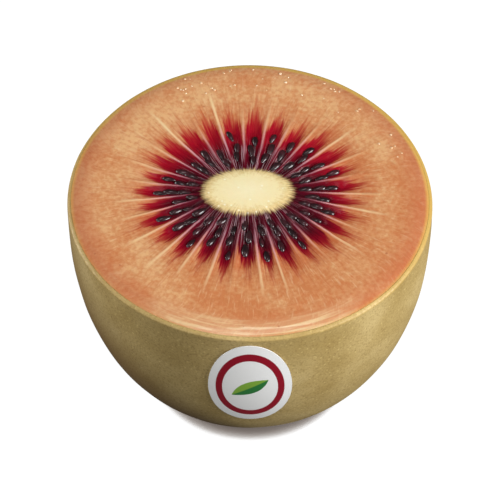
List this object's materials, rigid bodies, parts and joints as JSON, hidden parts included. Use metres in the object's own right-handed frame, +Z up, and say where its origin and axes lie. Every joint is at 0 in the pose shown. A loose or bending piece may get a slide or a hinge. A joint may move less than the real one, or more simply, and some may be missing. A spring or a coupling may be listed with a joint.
{
  "type": "kiwi fruit half",
  "caption": "Red-fleshed kiwi fruit cut across its middle, standing on its blunt end with the seeded cut face level and up, and an oval paper label on its skin.",
  "frame": {"origin": "on the surface that the fruit stands on, under the middle of the fruit", "axes": "+Z up along the fruit's axis, out of the cut face; -Y towards the side with the label; +X to the right seen from there"},
  "size_m": [0.046, 0.0466, 0.0333],
  "materials": {
    "kiwi_skin": "thin smooth olive-gold fruit skin with fine pale specks",
    "kiwi_flesh": "wet cut salmon flesh, dark red rays round a cream core",
    "kiwi_seed": "wet black seed",
    "label_paper": "coated white paper with plain colour fields"
  },
  "bodies": {
    "root": {"kiwi_half": "kiwi_skin", "label": "label_paper"}
  },
  "joints": []
}
